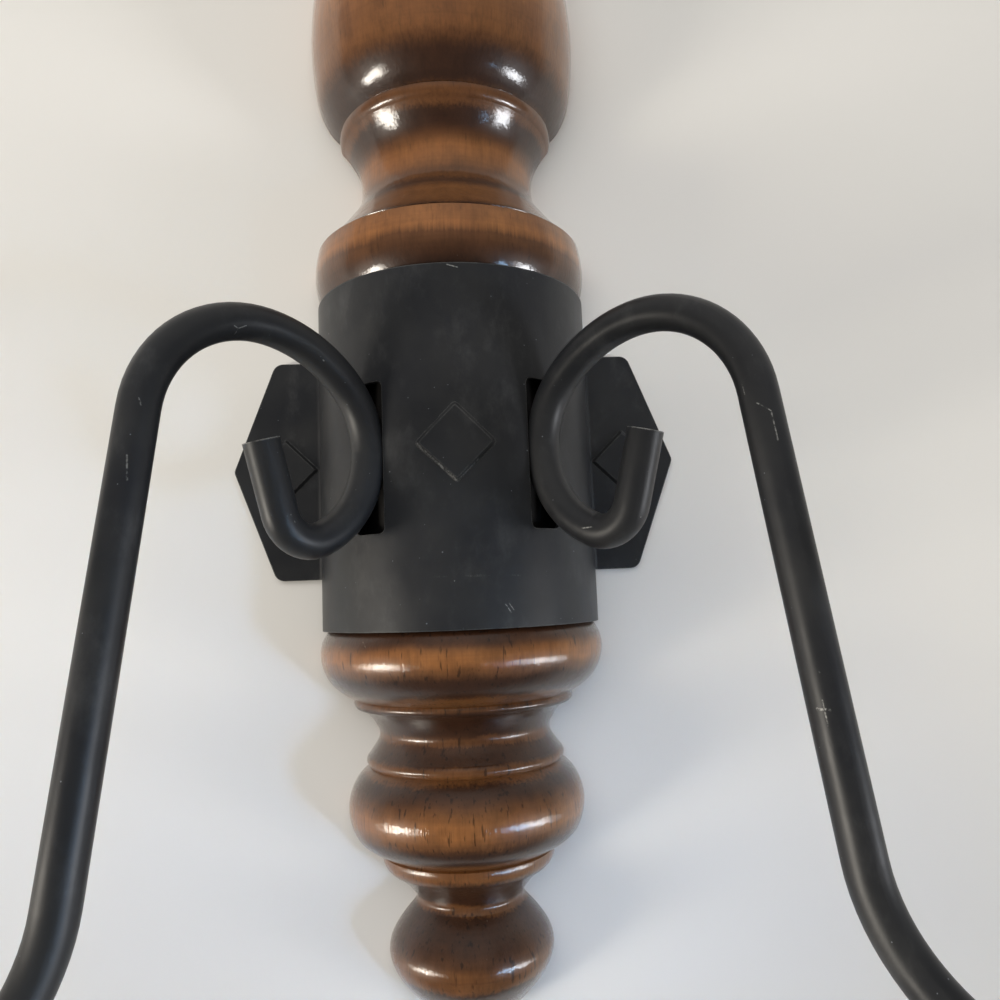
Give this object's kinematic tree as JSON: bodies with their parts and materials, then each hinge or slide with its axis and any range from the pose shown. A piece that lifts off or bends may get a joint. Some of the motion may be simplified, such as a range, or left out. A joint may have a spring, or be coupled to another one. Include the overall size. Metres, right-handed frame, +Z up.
{
  "type": "double candle wall sconce",
  "caption": "Wall sconce with a half-round turned wooden spindle, a stamped metal collar and scrolled rod arms that carry candle cups over drip pans.",
  "frame": {"origin": "middle of the hanger plate's keyhole, on the wall plane", "axes": "+Z up, -Y out from the wall towards the room, +X to the viewer's right"},
  "size_m": [0.305, 0.1617, 0.3787],
  "materials": {
    "turned_wood": "walnut stain under glossy lacquer",
    "black_paint": "satin black paint",
    "plated_steel": "dull zinc plating"
  },
  "bodies": {
    "root": {"arm_left": "black_paint", "arm_right": "black_paint", "arm_welds": "black_paint", "back_strap": "plated_steel", "candle_cup_left": "black_paint", "candle_cup_right": "black_paint", "collar": "black_paint", "cup_screws": "plated_steel", "drip_pan_left": "black_paint", "drip_pan_right": "black_paint", "hanger_plate": "plated_steel", "hanger_screws": "plated_steel", "spindle": "turned_wood", "strap_screws": "plated_steel"}
  },
  "joints": []
}
